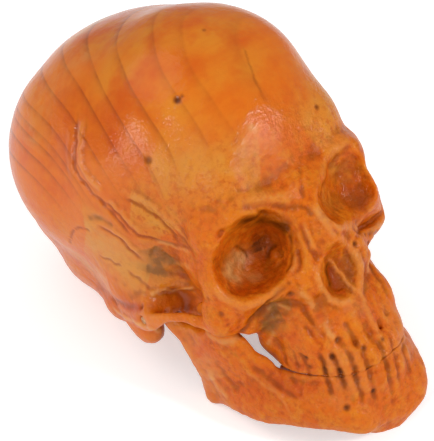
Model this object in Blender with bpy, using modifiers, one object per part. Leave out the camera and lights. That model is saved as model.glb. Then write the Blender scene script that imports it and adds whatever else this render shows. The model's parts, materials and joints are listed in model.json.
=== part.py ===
"""A carved wooden skull for a shelf: a cranium, a mandible that opens, and the two dowels it turns on.

The skull is modelled upright, with its ear line as the origin, its face towards -Y and its left side towards
+X. It is then leaned back until the angles of the mandible and the back of the cranium both reach the shelf,
as the carving lies in the photograph, and both are sanded flat where they touch it.
"""

import math

import bmesh
import bpy
import numpy as np
from mathutils import Matrix, Vector

MM = 0.001

# Vault: the brain case, about its own centre, which lies behind and above the ear line.
VAULT_WIDTH = 61.5 * MM
VAULT_LENGTH = 80.0 * MM
VAULT_HEIGHT = 61.0 * MM
VAULT_BACK = 2.8 * MM
VAULT_RISE = 23.0 * MM

# Face: from the ear line out to the cheek arches, forwards to the root of the nose and down to the bite.
FACE_WIDTH = 54.0 * MM
FACE_REACH = 37.0 * MM
FACE_HEIGHT = 20.5 * MM
RIM_THICKNESS = 5.0 * MM

# Eye sockets and nose opening.
SOCKET_WIDTH = 17.0 * MM
SOCKET_HEIGHT = 18.2 * MM
SOCKET_DEPTH = 17.0 * MM
NOSE_WIDTH = 9.4 * MM
NOSE_HEIGHT = 12.4 * MM
NOSE_DEPTH = 9.0 * MM

# Cheek arches, and the hollow between each arch and the temple.
ARCH_THICKNESS = 2.3 * MM
ARCH_HEIGHT = 2.9 * MM
ROOT_WALL = 1.9 * MM
ROOT_RISE = 1.6 * MM
HOLLOW_WIDTH = 9.0 * MM
HOLLOW_HEIGHT = 9.6 * MM

# Tooth rows, upper and lower, which follow one arch and meet at the bite. The arch stands proud of the face.
ROW_WIDTH = 25.4 * MM
ROW_DEPTH = 16.6 * MM
ROW_PROUD = 4.0 * MM
ROW_BACK = FACE_REACH + ROW_PROUD - ROW_DEPTH
BITE_DROP = 19.0 * MM
BITE_CANT = math.radians(19)
CROWN_WIDTH = 3.3 * MM
CROWN_DEPTH = 3.6 * MM
CROWN_HEIGHT = 3.8 * MM
ROOT_LENGTH = 8.0 * MM
ROOT_SINK = 1.3 * MM
GUM_THICKNESS = 2.0 * MM
GUM_HEIGHT = 6.0 * MM
BITE_GAP = 0.35 * MM

# Mandible, from its hinge axis: forwards to the chin, which stands back from the tooth arch, and down to its
# lower edge.
HINGE_BACK = -4.9 * MM
HINGE_RISE = -3.7 * MM
HINGE_SPAN = 41.0 * MM
CHIN_BACK = 3.3 * MM
JAW_REACH = FACE_REACH + ROW_PROUD + HINGE_BACK - CHIN_BACK
JAW_DROP = 37.3 * MM
JAW_THICKNESS = 5.0 * MM
RAMUS_THICKNESS = 3.4 * MM
RAMUS_EDGE = 4.2 * MM
HEAD_WIDTH = 6.6 * MM
HEAD_DEPTH = 4.4 * MM
JAW_OPENING = math.radians(12)
STEEPEST_LEAN = math.radians(60)

# Hinge dowels, and the room left round what moves on them.
DOWEL_DIAMETER = 1.6 * MM
DOWEL_SEAT = 2.2 * MM
DOWEL_PLAY = 0.3 * MM
DOWEL_SINK = 0.4 * MM
JOINT_GAP = 0.5 * MM

# How deep the carving is sanded where it rests on the shelf.
SANDED = 0.6 * MM

# Fineness of the carving, and how many triangles each piece keeps.
COARSE_VOXEL = 1.0 * MM
FINE_VOXEL = 0.55 * MM
CRANIUM_TRIANGLES = 8400
MANDIBLE_TRIANGLES = 4200
OVERRUN = 2.0 * MM

# A row of a lump table is a ball of clay: its centre and its three radii, as shares of the half width,
# depth and height of the region it belongs to. A ball that lies off the middle is made on both sides.
VAULT_SHARES = (
    ((0.0, 0.0, 0.0), (0.93, 0.99, 1.0)),
    ((0.0, -0.44, 0.0), (0.77, 0.55, 0.84)),
    ((0.35, -0.52, -0.08), (0.4, 0.46, 0.46)),
    ((0.0, -0.33, 0.22), (0.68, 0.57, 0.77)),
    ((0.16, -0.35, 0.22), (0.6, 0.54, 0.72)),
    ((0.34, 0.2, 0.1), (0.63, 0.57, 0.74)),
    ((0.0, 0.56, -0.18), (0.74, 0.47, 0.6)),
    ((0.0, 0.32, -0.73), (0.61, 0.41, 0.35)),
    ((0.51, -0.05, -0.54), (0.33, 0.41, 0.43)),
    ((0.37, 0.35, -0.52), (0.39, 0.43, 0.4)),
)
FACE_SHARES = (
    ((0.0, -0.91, 0.66), (0.36, 0.14, 0.26)),
    ((0.41, -0.88, 0.72), (0.32, 0.14, 0.18)),
    ((0.7, -0.77, 0.6), (0.14, 0.11, 0.32)),
    ((0.0, -0.96, 0.4), (0.18, 0.14, 0.28)),
    ((0.0, -1.04, 0.2), (0.12, 0.12, 0.26)),
    ((0.0, -0.73, -0.24), (0.53, 0.31, 0.6)),
    ((0.0, -0.77, -0.68), (0.45, 0.32, 0.42)),
    ((0.33, -0.88, -0.7), (0.16, 0.16, 0.34)),
    ((0.0, -0.97, -0.72), (0.3, 0.08, 0.42)),
    ((0.43, -0.79, -0.4), (0.11, 0.11, 0.26)),
    ((0.45, -0.69, -0.66), (0.1, 0.08, 0.24)),
    ((0.64, -0.73, -0.08), (0.21, 0.14, 0.24)),
    ((0.765, -0.74, 0.16), (0.11, 0.09, 0.28)),
    ((0.36, -0.51, 0.16), (0.32, 0.33, 0.52)),
    ((0.66, -0.62, 0.3), (0.14, 0.18, 0.4)),
)
# The right cheekbone hangs lower than the left one.
LEFT_CHEEK_SHARES = (
    ((0.76, -0.71, -0.04), (0.11, 0.09, 0.18)),
    ((0.62, -0.67, -0.18), (0.12, 0.1, 0.18)),
)
RIGHT_CHEEK_SHARES = (
    ((0.79, -0.67, -0.2), (0.11, 0.1, 0.24)),
    ((0.66, -0.68, -0.26), (0.13, 0.1, 0.2)),
    ((0.6, -0.7, -0.36), (0.12, 0.09, 0.17)),
)
BASE_SHARES = (
    ((0.45, -0.43, -0.12), (0.2, 0.26, 0.34)),
    ((0.56, -0.54, -0.04), (0.17, 0.18, 0.28)),
    ((0.5, -0.2, -0.2), (0.2, 0.22, 0.3)),
    ((0.7, 0.26, -0.14), (0.17, 0.2, 0.26)),
    ((0.0, -0.13, -0.16), (0.36, 0.38, 0.32)),
    ((0.21, -0.44, -0.44), (0.09, 0.1, 0.4)),
    ((0.2, 0.16, -0.4), (0.11, 0.12, 0.14)),
    ((0.79, 0.08, -0.18), (0.14, 0.12, 0.34)),
    ((0.79, 0.06, -0.38), (0.11, 0.12, 0.2)),
    ((0.76, 0.04, 0.12), (0.2, 0.2, 0.28)),
    ((0.58, 0.33, 0.0), (0.24, 0.28, 0.32)),
)
CHIN_SHARES = (
    ((0.0, -0.96, -0.76), (0.44, 0.09, 0.22)),
    ((0.0, -1.01, -0.82), (0.24, 0.07, 0.09)),
    ((0.26, -1.01, -0.82), (0.18, 0.07, 0.09)),
)

# A ridge is a smooth line of balls through these points of the face.
LOWER_RIM_SHARES = ((0.22, -0.96, 0.1), (0.44, -0.92, -0.1), (0.68, -0.82, -0.1))
NOSE_RIM_SHARES = ((0.17, -0.975, 0.44), (0.21, -1.0, 0.08), (0.27, -0.99, -0.24))
ARCH_SHARES = (
    (0.76, -0.66, -0.26),
    (0.88, -0.54, -0.24),
    (0.95, -0.34, -0.18),
    (0.94, -0.13, -0.18),
    (0.89, 0.05, -0.13),
    (0.8, 0.2, -0.08),
)
ARCH_HEIGHT_SHARES = (1.6, 1.1, 1.0, 2.3, 2.3, 1.6)
HOLLOW_SHARES = ((0.8, -0.2, -0.16), (0.78, -0.36, -0.17), (0.76, -0.52, -0.2))

# Eye socket, from its mouth inwards: centres in the face, radii as shares of the socket.
SOCKET_SHARES = (
    ((0.5, -1.04, 0.31), (0.5, 0.28, 0.49)),
    ((0.5, -0.9, 0.31), (0.5, 0.3, 0.48)),
    ((0.46, -0.76, 0.31), (0.41, 0.32, 0.4)),
    ((0.38, -0.62, 0.28), (0.28, 0.3, 0.27)),
    ((0.29, -0.52, 0.26), (0.15, 0.22, 0.14)),
)
# Nose, about the middle of its opening: the sunk rim first, then the two passages beside the septum.
NOSE_PLACE_SHARES = (0.0, -0.99, -0.2)
NOSE_SHARES = (
    ((0.0, -0.28, 0.24), (0.28, 0.5, 0.27)),
    ((0.2, -0.12, -0.2), (0.3, 0.46, 0.28)),
    ((0.2, 0.45, 0.05), (0.14, 0.65, 0.3)),
    ((0.26, 0.35, -0.2), (0.19, 0.65, 0.24)),
)
PALATE_SHARES = (((0.0, -0.74, -0.98), (0.28, 0.27, 0.26)),)
GREAT_HOLE_SHARES = (((0.0, 0.38, -0.5), (0.21, 0.19, 0.3)),)

# Body of the mandible from the chin to its angle: places, then the half height at each of them.
BODY_SHARES = (
    (0.0, -0.99, -0.75),
    (0.4, -1.01, -0.77),
    (0.57, -0.88, -0.665),
    (0.74, -0.64, -0.58),
    (0.84, -0.36, -0.565),
    (0.88, -0.08, -0.495),
)
BODY_HEIGHT_SHARES = (0.14, 0.14, 0.15, 0.175, 0.14, 0.09)
# Ramus, the upright blade of the mandible: its rear and its front edge from the top down to the angle, the
# neck that carries the head of the joint, and the coronoid in front of the notch.
BLADE_REAR_SHARES = (
    (0.96, -0.08, -0.19),
    (0.96, -0.12, -0.3),
    (0.94, -0.13, -0.4),
    (0.93, -0.1, -0.49),
    (0.93, -0.07, -0.565),
)
BLADE_FRONT_SHARES = (
    (0.93, -0.5, -0.15),
    (0.9, -0.53, -0.26),
    (0.84, -0.59, -0.37),
    (0.77, -0.64, -0.45),
    (0.74, -0.66, -0.54),
)
NECK_SHARES = ((1.0, 0.0, 0.0), (0.98, -0.04, -0.11), (0.96, -0.1, -0.2))
CORONOID_SHARES = ((0.95, -0.4, 0.0), (0.95, -0.44, -0.1), (0.93, -0.5, -0.2))

# Widths of the teeth of one side, from the middle of the front to the back.
UPPER_TOOTH_SHARES = (1.1, 0.9, 1.0, 0.92, 0.9, 1.2, 1.15)
LOWER_TOOTH_SHARES = (0.75, 0.8, 0.9, 0.95, 0.98, 1.3, 1.25)
ROW_SQUARENESS_SHARE = 0.8
# Bulge of a crown to its sides and along its height, where it is trimmed at the bite, then the thickness of a
# root at its neck and how much of that it loses towards its tip.
CROWN_BULGE_SHARE = 0.46
CROWN_RUN_SHARE = 0.8
ROOT_SHARE = 0.38
ROOT_TAPER_SHARE = 0.35

# Colours of the oiled wood.
CRANIUM_COLOUR = (0.62, 0.20, 0.035)
MANDIBLE_COLOUR = (0.60, 0.19, 0.035)
DOWEL_COLOUR = (0.55, 0.36, 0.17)
OILED = 0.35
BARE = 0.6

SIDES = (1, -1)
UPRIGHT = Matrix.Identity(3)


def clear_scene():
    """Removes what is in the scene, so that the script can be run again."""
    for obj in list(bpy.data.objects):
        bpy.data.objects.remove(obj)


def parts_collection():
    """The collection that holds the pieces."""
    made = bpy.data.collections.new("carved_skull")
    bpy.context.scene.collection.children.link(made)
    return made


def new_object(name, mesh):
    made = bpy.data.objects.new(name, mesh)
    bpy.context.scene.collection.objects.link(made)
    return made


class Region:
    """A region of the head: its origin, and the half width, depth and height that its shares are of."""

    def __init__(self, origin, half_width, depth, height):
        self.origin = Vector(origin)
        self.size = Vector((half_width, depth, height))

    def at(self, shares, side=1):
        x, y, z = (share * size for share, size in zip(shares, self.size))
        return self.origin + Vector((x * side, y, z))

    def radii(self, shares):
        return Vector([share * size for share, size in zip(shares, self.size)])


VAULT = Region((0, VAULT_BACK, VAULT_RISE), VAULT_WIDTH / 2, VAULT_LENGTH / 2, VAULT_HEIGHT / 2)
FACE = Region((0, 0, 0), FACE_WIDTH / 2, FACE_REACH, FACE_HEIGHT)
NOSE = Region(FACE.at(NOSE_PLACE_SHARES), NOSE_WIDTH, NOSE_DEPTH, NOSE_HEIGHT)
JAW = Region((0, HINGE_BACK, HINGE_RISE), HINGE_SPAN / 2, JAW_REACH, JAW_DROP)


def along(values, share):
    """The value, or point, at a share 0 to 1 of the way along the smooth curve through a list of them."""
    spans = len(values) - 1
    k = min(int(share * spans), spans - 1)
    t = share * spans - k
    a, b = values[k], values[k + 1]
    before, after = values[max(k - 1, 0)], values[min(k + 2, spans)]
    bend = 2 * before - 5 * a + 4 * b - after
    twist = 3 * a - before - 3 * b + after
    return 0.5 * (2 * a + (b - before) * t + bend * t * t + twist * t * t * t)


def unit_ball(rings):
    """A ball of radius 1, which lumps are stretched from."""
    made = bmesh.new()
    bmesh.ops.create_uvsphere(made, u_segments=2 * rings, v_segments=rings, radius=1)
    mesh = bpy.data.meshes.new("unit_ball")
    made.to_mesh(mesh)
    made.free()
    return mesh


FINE_BALL = unit_ball(20)
SMALL_BALL = unit_ball(10)


class Clay:
    """Overlapping lumps of clay, which are melted into one skin."""

    def __init__(self):
        self.mass = bmesh.new()

    def ball(self, centre, radii, turn=UPRIGHT, unit=SMALL_BALL):
        lump = unit.copy()
        lump.transform(Matrix.Translation(centre) @ (turn @ Matrix.Diagonal(radii)).to_4x4())
        self.mass.from_mesh(lump)
        bpy.data.meshes.remove(lump)

    def lumps(self, region, rows, sides=SIDES):
        for centre, radii in rows:
            for side in sides if centre[0] else (1,):
                self.ball(region.at(centre, side), region.radii(radii), unit=FINE_BALL)

    def ridge(self, points, radii, count, height_shares=(1, 1)):
        for n in range(count):
            share = n / (count - 1)
            wide, deep, high = radii
            self.ball(along(points, share), (wide, deep, high * along(height_shares, share)))

    def add(self, obj):
        """Takes in the mesh of an object, which is used up."""
        self.mass.from_mesh(obj.data)
        bpy.data.objects.remove(obj)

    def melt(self, name, voxel, passes):
        """Runs the lumps into one closed skin, and softens it where they meet."""
        mesh = bpy.data.meshes.new(name)
        self.mass.to_mesh(mesh)
        self.mass.free()
        whole = new_object(name, mesh)
        remesh = whole.modifiers.new("Melt", "REMESH")
        remesh.mode = "VOXEL"
        remesh.voxel_size = voxel
        smooth = whole.modifiers.new("Soften", "SMOOTH")
        smooth.factor = 0.5
        smooth.iterations = passes
        return bake(whole)


def bake(obj):
    """Swaps an object's mesh for what its modifiers make of it."""
    graph = bpy.context.evaluated_depsgraph_get()
    mesh = bpy.data.meshes.new_from_object(obj.evaluated_get(graph))
    obj.modifiers.clear()
    obj.data = mesh
    return obj


def carve(obj, cutter):
    """Cuts one object away from another, and uses it up."""
    cut = obj.modifiers.new("Carve", "BOOLEAN")
    cut.operation = "DIFFERENCE"
    cut.object = cutter
    bake(obj)
    bpy.data.objects.remove(cutter)


def thin_out(obj, triangles):
    """Collapses edges until a piece keeps about this many triangles."""
    have = sum(len(face.vertices) - 2 for face in obj.data.polygons)
    collapse = obj.modifiers.new("Thin", "DECIMATE")
    collapse.ratio = min(1, triangles / have)
    return bake(obj)


def slab(low, high):
    """A box between two corners."""
    middle = (Vector(low) + Vector(high)) / 2
    size = Vector(high) - Vector(low)
    bpy.ops.mesh.primitive_cube_add(size=1)
    made = bpy.context.object
    made.data.transform(Matrix.Translation(middle) @ Matrix.Diagonal(size).to_4x4())
    return made


def rod(name, start, end, radius):
    """A round bar along X on the hinge axis, with its origin there."""
    bpy.ops.mesh.primitive_cylinder_add(vertices=24, radius=radius, depth=abs(end - start))
    made = bpy.context.object
    made.name = name
    made.data.transform(Matrix.Rotation(math.radians(90), 4, "Y"))
    made.location = ((start + end) / 2, JAW.origin.y, JAW.origin.z)
    bpy.context.view_layer.update()
    return made


def row_point(turn):
    """A point of the tooth arch. Turn 0 is the middle of the front, a quarter turn the back of the left."""
    wide = math.sin(turn) ** ROW_SQUARENESS_SHARE
    deep = math.cos(turn) ** ROW_SQUARENESS_SHARE
    forward = ROW_DEPTH * deep
    drop = BITE_DROP + forward * math.tan(BITE_CANT)
    return Vector((ROW_WIDTH / 2 * wide, -ROW_BACK - forward, -drop))


def row_stations(width_shares):
    """Middle, turn and width of each tooth on the left, walked along the arch from the front."""
    walk = [row_point(math.pi / 2 * n / 600) for n in range(600)]
    steps = np.array([(b - a).length for a, b in zip(walk, walk[1:])])
    run = np.cumsum(steps)
    widths = np.array(width_shares) * CROWN_WIDTH
    middles = np.cumsum(widths) - widths / 2
    stations = []
    for middle, width in zip(middles, widths):
        k = min(int(np.searchsorted(run, middle)) + 1, len(walk) - 2)
        heading = walk[k + 1] - walk[k - 1]
        stations.append((walk[k], math.atan2(heading.y, heading.x), width))
    return stations


def add_teeth(clay, width_shares, up):
    """Crowns, roots and the gum behind them. Up is +1 for the upper row and -1 for the lower."""
    rise = Vector((0, 0, up * CROWN_HEIGHT))
    tip = Vector((0, 0, up * ROOT_LENGTH))
    steps = 5
    for spot, heading, width in row_stations(width_shares):
        for side in SIDES:
            place = Vector((spot.x * side, spot.y, spot.z))
            turn = Matrix.Rotation(heading * side, 3, "Z")
            inward = turn @ Vector((0, 1, 0))
            crown = (CROWN_BULGE_SHARE * width, CROWN_DEPTH / 2, CROWN_RUN_SHARE * CROWN_HEIGHT)
            clay.ball(place + rise / 2, crown, turn)
            for n in range(steps):
                share = n / (steps - 1)
                root = ROOT_SHARE * width * (1 - ROOT_TAPER_SHARE * share)
                clay.ball(place + rise + share * (tip + inward * ROOT_SINK), (root, root, root), turn)
            gum = (width, GUM_THICKNESS / 2, GUM_HEIGHT)
            clay.ball(place + inward * GUM_THICKNESS / 2, gum, turn)


def trim_bite(obj, up):
    """Cuts a tooth row off along the bite, which drops towards the front, half the bite gap short of it."""
    half = ROW_WIDTH / 2 + CROWN_DEPTH
    low, high = sorted((up * BITE_GAP / 2, -up * (GUM_HEIGHT + CROWN_HEIGHT)))
    cutter = slab((-half, -ROW_DEPTH - 2 * CROWN_DEPTH, low), (half, OVERRUN, high))
    cutter.data.transform(Matrix.Rotation(BITE_CANT, 4, "X"))
    cutter.data.transform(Matrix.Translation((0, -ROW_BACK, -BITE_DROP)))
    carve(obj, cutter)


def socket_cutter():
    clay = Clay()
    socket = Region((0, 0, 0), SOCKET_WIDTH, SOCKET_DEPTH, SOCKET_HEIGHT)
    for centre, radii in SOCKET_SHARES:
        for side in SIDES:
            clay.ball(FACE.at(centre, side), socket.radii(radii), unit=FINE_BALL)
    return clay.melt("sockets", FINE_VOXEL, 14)


def nose_cutter():
    clay = Clay()
    clay.lumps(NOSE, NOSE_SHARES)
    return clay.melt("nose", FINE_VOXEL, 2)


def hollow_cutter():
    clay = Clay()
    for side in SIDES:
        points = [FACE.at(place, side) for place in HOLLOW_SHARES]
        clay.ridge(points, (HOLLOW_WIDTH / 2, HOLLOW_WIDTH / 2, HOLLOW_HEIGHT / 2), 9)
    return clay.melt("hollows", FINE_VOXEL, 2)


def pit_cutter(rows):
    clay = Clay()
    clay.lumps(FACE, rows)
    return clay.melt("pit", FINE_VOXEL, 2)


def add_ramus(clay, side):
    """The blade, laid in rows from its rear to its front edge, with the neck, the coronoid and the head."""
    radii = (RAMUS_THICKNESS / 2, RAMUS_EDGE / 2, RAMUS_EDGE / 2)
    edges = [[JAW.at(place, side) for place in line] for line in (BLADE_REAR_SHARES, BLADE_FRONT_SHARES)]
    rows = 9
    for row in range(rows):
        rear, front = (along(edge, row / (rows - 1)) for edge in edges)
        clay.ridge((rear, front), radii, 9)
    for line in (NECK_SHARES, CORONOID_SHARES):
        clay.ridge([JAW.at(place, side) for place in line], radii, 7)
    clay.ball(JAW.at((1, 0, 0), side), (HEAD_WIDTH / 2, HEAD_DEPTH / 2, HEAD_DEPTH / 2))


def relief_cutter():
    """The room that the upright plates and their heads sweep as the mandible opens, with a gap round it."""
    swept = Clay()
    stages = 5
    for stage in range(stages):
        clay = Clay()
        for side in SIDES:
            add_ramus(clay, side)
        plates = clay.melt("plates", FINE_VOXEL, 2)
        grow = plates.modifiers.new("Grow", "DISPLACE")
        grow.mid_level = 0
        grow.strength = JOINT_GAP
        bake(plates)
        swing = Matrix.Rotation(JAW_OPENING * stage / (stages - 1), 4, "X")
        about = Matrix.Translation(JAW.origin)
        plates.data.transform(about @ swing @ about.inverted())
        swept.add(plates)
    return swept.melt("relief", FINE_VOXEL, 1)


def root_reach():
    """Half the width of the root of the arch, which houses the head of the joint."""
    return HEAD_WIDTH / 2 + JOINT_GAP + ROOT_WALL


def make_cranium():
    vault = Clay()
    vault.lumps(VAULT, VAULT_SHARES)
    mask = Clay()
    mask.lumps(FACE, FACE_SHARES)
    mask.lumps(FACE, LEFT_CHEEK_SHARES, (1,))
    mask.lumps(FACE, RIGHT_CHEEK_SHARES, (-1,))
    rim = (RIM_THICKNESS / 2,) * 3
    for side in SIDES:
        for line in (LOWER_RIM_SHARES, NOSE_RIM_SHARES):
            mask.ridge([FACE.at(place, side) for place in line], rim, 9)
    head = Clay()
    head.lumps(FACE, BASE_SHARES)
    head.add(vault.melt("vault", COARSE_VOXEL, 20))
    head.add(mask.melt("mask", FINE_VOXEL, 5))
    cranium = head.melt("head", FINE_VOXEL, 8)
    for cutter in (socket_cutter(), nose_cutter(), hollow_cutter()):
        carve(cranium, cutter)
    for rows in (PALATE_SHARES, GREAT_HOLE_SHARES):
        carve(cranium, pit_cutter(rows))
    whole = Clay()
    whole.add(cranium)
    add_teeth(whole, UPPER_TOOTH_SHARES, 1)
    root_depth = HEAD_DEPTH / 2 + JOINT_GAP + ROOT_WALL
    for side in SIDES:
        points = [FACE.at(place, side) for place in ARCH_SHARES]
        radii = (ARCH_THICKNESS / 2, ARCH_THICKNESS / 2, ARCH_HEIGHT / 2)
        whole.ridge(points, radii, 41, ARCH_HEIGHT_SHARES)
        root = JAW.at((1, 0, 0), side) + Vector((0, 0, ROOT_RISE))
        whole.ball(root, (root_reach(), root_depth, root_depth), unit=FINE_BALL)
    cranium = whole.melt("cranium", FINE_VOXEL, 2)
    carve(cranium, relief_cutter())
    cleared = Clay()
    cleared.add(cranium)
    cranium = thin_out(cleared.melt("cranium", FINE_VOXEL, 1), CRANIUM_TRIANGLES)
    trim_bite(cranium, 1)
    return cranium


def make_mandible():
    form = Clay()
    form.lumps(JAW, CHIN_SHARES)
    half = JAW_THICKNESS / 2
    for side in SIDES:
        places = [JAW.at(place, side) for place in BODY_SHARES]
        for n in range(33):
            height = along(BODY_HEIGHT_SHARES, n / 32) * JAW_DROP
            form.ball(along(places, n / 32), (half, half, height))
        add_ramus(form, side)
    whole = Clay()
    whole.add(form.melt("form", FINE_VOXEL, 6))
    add_teeth(whole, LOWER_TOOTH_SHARES, -1)
    mandible = thin_out(whole.melt("mandible", FINE_VOXEL, 2), MANDIBLE_TRIANGLES)
    trim_bite(mandible, -1)
    return mandible


def drill_hinge(cranium, mandible):
    """Bores the heads of the mandible through and the cranium blind, and returns the dowels that fit them."""
    wall = HINGE_SPAN / 2 - HEAD_WIDTH / 2 - JOINT_GAP
    outer = HINGE_SPAN / 2 + root_reach() - DOWEL_SINK
    bore = DOWEL_DIAMETER / 2 + DOWEL_PLAY
    dowels = []
    for side, name in ((1, "jaw_pin_left"), (-1, "jaw_pin_right")):
        inner = wall - DOWEL_SEAT
        end = outer + OVERRUN
        carve(mandible, rod("bore", side * (wall - OVERRUN), side * end, bore))
        carve(cranium, rod("bore", side * (inner - DOWEL_PLAY), side * end, bore))
        dowels.append(rod(name, side * inner, side * outer, DOWEL_DIAMETER / 2))
    return dowels


def points_of(obj):
    """The corners of an object's mesh as an array, one row each."""
    flat = np.empty(3 * len(obj.data.vertices))
    obj.data.vertices.foreach_get("co", flat)
    return flat.reshape(-1, 3)


def world_points(obj):
    placed = np.array(obj.matrix_world)
    return points_of(obj) @ placed[:3, :3].T + placed[:3, 3]


def lowest(obj, lean):
    """How low a piece reaches when the head leans back by this angle."""
    turn = np.array(Matrix.Rotation(-lean, 3, "X"))
    return (points_of(obj) @ turn.T)[:, 2].min()


def resting_lean(cranium, mandible):
    """The lean at which the back of the cranium comes down as low as the angles of the mandible."""
    low, high = 0.0, STEEPEST_LEAN
    for _ in range(40):
        middle = (low + high) / 2
        if lowest(cranium, middle) > lowest(mandible, middle):
            low = middle
        else:
            high = middle
    return low


def paint(obj, colour, roughness):
    """Gives a piece its own material."""
    material = bpy.data.materials.new(obj.name)
    material.use_nodes = True
    shader = material.node_tree.nodes["Principled BSDF"]
    shader.inputs["Base Color"].default_value = (*colour, 1)
    shader.inputs["Roughness"].default_value = roughness
    shader.inputs["Metallic"].default_value = 0
    material.diffuse_color = (*colour, 1)
    obj.data.materials.clear()
    obj.data.materials.append(material)
    obj.data.shade_smooth()
    obj.data.set_sharp_from_angle(angle=math.radians(40))


def empty(name, place, parent=None):
    made = new_object(name, None)
    made.location = place
    made.parent = parent
    return made


def sand_flat(obj):
    """Cuts away what reaches below the shelf, whose top is the ground plane."""
    reach = VAULT_LENGTH + JAW_REACH
    carve(obj, slab((-reach, -reach, -reach), (reach, reach, 0)))


def main():
    clear_scene()
    cranium = make_cranium()
    mandible = make_mandible()
    dowels = drill_hinge(cranium, mandible)
    lean = resting_lean(cranium, mandible)
    ground = lowest(mandible, lean) + SANDED

    skull = empty("skull_lean", (0, 0, -ground))
    skull.rotation_euler.x = -lean
    hinge = empty("jaw_hinge", JAW.origin, skull)
    mandible.data.transform(Matrix.Translation(-JAW.origin))
    mandible.parent = hinge
    for obj in [cranium] + dowels:
        obj.parent = skull
    bpy.context.view_layer.update()
    sand_flat(cranium)
    sand_flat(mandible)

    reach = np.concatenate([world_points(obj)[:, 1] for obj in (cranium, mandible)])
    skull.location.y -= (reach.min() + reach.max()) / 2
    bpy.context.view_layer.update()

    paint(cranium, CRANIUM_COLOUR, OILED)
    paint(mandible, MANDIBLE_COLOUR, OILED)
    for dowel in dowels:
        paint(dowel, DOWEL_COLOUR, BARE)
    collection = parts_collection()
    for obj in [cranium, mandible, skull, hinge] + dowels:
        for holder in list(obj.users_collection):
            holder.objects.unlink(obj)
        collection.objects.link(obj)
    print("Lean", round(math.degrees(lean), 2), "degrees, hinge axis at", hinge.matrix_world.translation)


main()
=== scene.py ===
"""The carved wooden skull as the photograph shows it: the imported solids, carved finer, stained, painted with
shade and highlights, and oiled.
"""
import json
import math

import bpy
import numpy as np
from mathutils import Matrix, Vector, noise
from mathutils.bvhtree import BVHTree


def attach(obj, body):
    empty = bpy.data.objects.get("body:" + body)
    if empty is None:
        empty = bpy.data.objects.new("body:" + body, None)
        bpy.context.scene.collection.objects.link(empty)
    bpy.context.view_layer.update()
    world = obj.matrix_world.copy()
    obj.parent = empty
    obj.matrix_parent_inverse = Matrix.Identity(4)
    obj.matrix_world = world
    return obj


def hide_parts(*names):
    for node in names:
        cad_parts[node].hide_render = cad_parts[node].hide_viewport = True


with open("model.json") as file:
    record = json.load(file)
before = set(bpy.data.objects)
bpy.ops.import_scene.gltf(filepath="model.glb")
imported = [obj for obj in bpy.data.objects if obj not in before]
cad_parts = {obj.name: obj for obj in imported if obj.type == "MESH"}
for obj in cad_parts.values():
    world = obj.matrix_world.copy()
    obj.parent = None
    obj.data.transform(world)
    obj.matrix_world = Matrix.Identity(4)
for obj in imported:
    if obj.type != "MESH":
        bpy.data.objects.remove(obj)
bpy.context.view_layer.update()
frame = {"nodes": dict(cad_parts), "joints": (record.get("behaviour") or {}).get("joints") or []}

MM = 0.001

# The skull's own upright frame, in which the carving is done: the hinge's place there, and the lean.
HINGE_IN_SKULL = Vector((0, -4.9 * MM, -3.7 * MM))
LEAN = math.radians(30.63)
HINGE = Vector(frame["joints"][0]["pos_m"])
TO_WORLD = Matrix.Translation(HINGE) @ Matrix.Rotation(-LEAN, 4, "X") @ Matrix.Translation(-HINGE_IN_SKULL)

# The photograph's camera, in the skull's frame: one UNIT covers UNIT_PIXELS at its aim.
PHOTO_WIDTH, PHOTO_HEIGHT = 434, 441
UNIT = 0.41 * MM
UNIT_PIXELS = 1.95
UNITS_AWAY = 957.9
CAM_TURN, CAM_RISE, CAM_ROLL = (math.radians(a) for a in (-32.1, 14.4, -21.6))
CAM_DISTANCE = UNITS_AWAY * UNIT
CAM_FOCAL = UNIT_PIXELS * UNITS_AWAY
CAM_CENTRE = (203.06, 212.23)
CAM_AIM = Vector((0, 0, 20 * UNIT))
CLIP_NEAR, CLIP_FAR = 0.01, 10

# The carved pieces: name, body, the CAD node that it replaces, and a shift that gives its wood its own
# noise.
PIECES = (
    ("carved_cranium", "skull", "cranium", 0.0),
    ("carved_mandible", "jaw", "mandible", 0.3),
)

# What can be painted on the wood: its own colours, and painted light. cavity is painted shade in fine creases,
# hollow painted shade in broad hollows, which it also makes redder, edge partly wear and partly painted
# highlight on ridges, dark and pale carry the strokes' painted shade and painted highlight, and worked also
# darkens the face as painted shade.
STAINS_AND_PAINTED_LIGHT = ("ochre", "pale", "red", "dark", "olive", "cavity", "edge", "hollow", "rings", "worked_and_shaded")

# Sides that a stroke is put on: the photographed one as it is, and mirrored.
BOTH = (1, -1)
HERE = (1,)

# How finely the pieces are meshed.
GRAIN = 0.36 * MM

# Melting of the solids' facets: its reach, the depth of detail that it spares, and how far it fades.
FACET_REACH = 2.0 * MM
FACET_DEPTH = 0.22 * MM
FACET_BLEND = 0.5 * MM

# Softening between the steps: how far it reaches, its weight, and the middle and radii in mm of where it
# works.
FIRST_REACH = 0.35 * MM
TEETH_REACH = 0.9 * MM
TEETH_WEIGHT = 0.8
TEETH_PLACE = ((8, -38, -21), (16, 20, 13))
SOCKET_REACH = 1.0 * MM
SOCKET_PLACE = ((12.5, -28, 6), (10, 14, 10))
EVEN_REACH = 0.3 * MM
MELTED_REACH = 1.3 * MM
STROKE_REACH = 0.5 * MM
STROKE_WEIGHT = 0.5
LAST_REACH = 0.15 * MM

# Bowls: radii tried for the crest of the rim, the form of the wall and of its fading, the share of the
# depth where its heart lies, how far below its bottom it is filled, and how far a point in view may lie
# behind the surface.
RIM_TRIES = 4
BOWL_POWER = 2.6
BOWL_FADE_POWER = 0.5
BOWL_HEART_SHARE = 0.3
BOWL_LOWEST = 16 * MM
HIDDEN_BY = 0.6 * MM

# The bite, in pixels: how far the evening and the lips' closing reach to each side, and the step along it.
BITE_REACH = 9.0
LIP_REACH = 3.2
BITE_STEP = 2.0

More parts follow.
